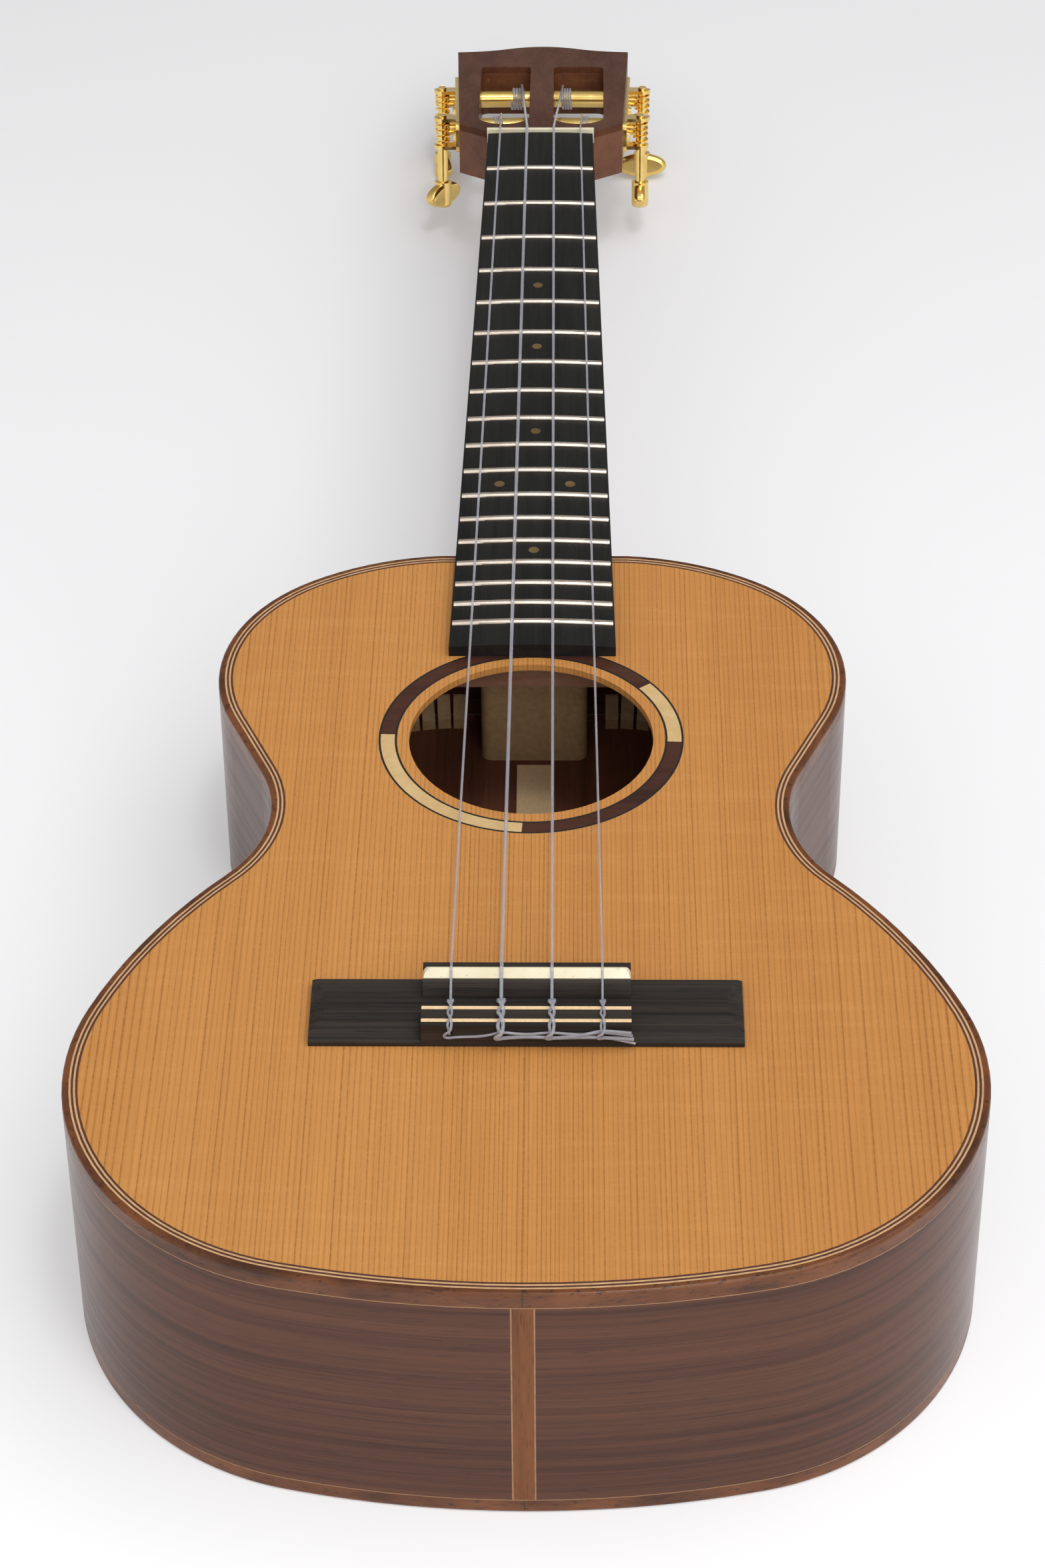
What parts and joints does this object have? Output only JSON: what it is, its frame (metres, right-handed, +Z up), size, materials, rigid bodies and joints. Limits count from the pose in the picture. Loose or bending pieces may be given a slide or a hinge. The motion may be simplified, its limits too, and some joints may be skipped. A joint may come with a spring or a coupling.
{
  "type": "tenor ukulele",
  "caption": "Four-string plucked instrument with a waisted wooden body, round sound hole, fretted neck and slotted head with worm-geared machine heads.",
  "frame": {"origin": "on the surface it lies on, under the middle of its bounding box: halfway along its whole length and on its centre line", "axes": "+Y along the neck from the tail to the head, +Z up out of the surface it lies on, +X across to the treble side"},
  "size_m": [0.228, 0.6512, 0.0801],
  "materials": {
    "cedar_top": "satin lacquer",
    "side_wood": "gloss lacquer",
    "binding_wood": "gloss lacquer",
    "line_wood": "satin",
    "dark_line_wood": "satin",
    "inner_wood": "bare",
    "neck_wood": "satin",
    "head_wood": "satin",
    "ebony": "oiled",
    "rosette_light_wood": "satin",
    "rosette_dark_wood": "satin",
    "bone": "polished bone",
    "nickel": "polished",
    "dot_brass": "satin",
    "gold_metal": "polished gold plate",
    "string_clear": "clear fluorocarbon"
  },
  "bodies": {
    "ukulele": {"soundboard": "cedar_top", "rosette_lines": "dark_line_wood", "rosette_light": "rosette_light_wood", "rosette_dark": "rosette_dark_wood", "purfling_light": "line_wood", "purfling_dark": "dark_line_wood", "top_binding": "binding_wood", "back_binding": "binding_wood", "side_left": "side_wood", "side_right": "side_wood", "end_graft": "binding_wood", "side_lines": "line_wood", "back_plate": "side_wood", "linings": "inner_wood", "neck_block": "inner_wood", "tail_block": "inner_wood", "top_braces": "inner_wood", "bridge_patch": "side_wood", "back_braces": "inner_wood", "back_strip": "inner_wood", "neck": "neck_wood", "head_veneer": "head_wood", "heel_cap": "side_wood", "fretboard": "ebony", "fret_dots": "dot_brass", "frets": "nickel", "nut": "bone", "bridge": "ebony", "bridge_inlays": "line_wood", "saddle": "bone", "tuner_plate_left": "gold_metal", "tuner_plate_right": "gold_metal", "plate_screws": "gold_metal", "string_g": "string_clear", "string_c": "string_clear", "string_e": "string_clear", "string_a": "string_clear"},
    "knob_g": {"worm_g": "gold_metal", "button_g": "gold_metal"},
    "post_g": {"roller_g": "gold_metal", "gear_g": "gold_metal", "winding_g": "string_clear"},
    "knob_c": {"worm_c": "gold_metal", "button_c": "gold_metal"},
    "post_c": {"roller_c": "gold_metal", "gear_c": "gold_metal", "winding_c": "string_clear"},
    "knob_e": {"worm_e": "gold_metal", "button_e": "gold_metal"},
    "post_e": {"roller_e": "gold_metal", "gear_e": "gold_metal", "winding_e": "string_clear"},
    "knob_a": {"worm_a": "gold_metal", "button_a": "gold_metal"},
    "post_a": {"roller_a": "gold_metal", "gear_a": "gold_metal", "winding_a": "string_clear"}
  },
  "joints": [
    {"name": "knob_g_turn", "type": "hinge", "parent": "ukulele", "child": "knob_g", "pos_m": [-0.03412, 0.24862, 0.03548], "axis": [0, 0.2659, 0.964], "continuous": true},
    {"name": "post_g_turn", "type": "hinge", "parent": "ukulele", "child": "post_g", "pos_m": [-0.02853, 0.25515, 0.03367], "axis": [0.9995, 0.0302, -0.0083], "continuous": true},
    {"name": "knob_c_turn", "type": "hinge", "parent": "ukulele", "child": "knob_c", "pos_m": [-0.03521, 0.28234, 0.02617], "axis": [0, 0.2659, 0.964], "continuous": true},
    {"name": "post_c_turn", "type": "hinge", "parent": "ukulele", "child": "post_c", "pos_m": [-0.02962, 0.28888, 0.02437], "axis": [0.9995, 0.0302, -0.0083], "continuous": true},
    {"name": "knob_e_turn", "type": "hinge", "parent": "ukulele", "child": "knob_e", "pos_m": [0.03521, 0.28234, 0.02617], "axis": [0, 0.2659, 0.964], "continuous": true},
    {"name": "post_e_turn", "type": "hinge", "parent": "ukulele", "child": "post_e", "pos_m": [0.02962, 0.28888, 0.02437], "axis": [0.9995, -0.0302, 0.0083], "continuous": true},
    {"name": "knob_a_turn", "type": "hinge", "parent": "ukulele", "child": "knob_a", "pos_m": [0.03412, 0.24862, 0.03548], "axis": [0, 0.2659, 0.964], "continuous": true},
    {"name": "post_a_turn", "type": "hinge", "parent": "ukulele", "child": "post_a", "pos_m": [0.02853, 0.25515, 0.03367], "axis": [0.9995, -0.0302, 0.0083], "continuous": true}
  ],
  "couplings": [
    {"joint": "post_g_turn", "follows": "knob_g_turn", "ratio": 0.071429},
    {"joint": "post_c_turn", "follows": "knob_c_turn", "ratio": 0.071429},
    {"joint": "post_e_turn", "follows": "knob_e_turn", "ratio": 0.071429},
    {"joint": "post_a_turn", "follows": "knob_a_turn", "ratio": 0.071429}
  ]
}
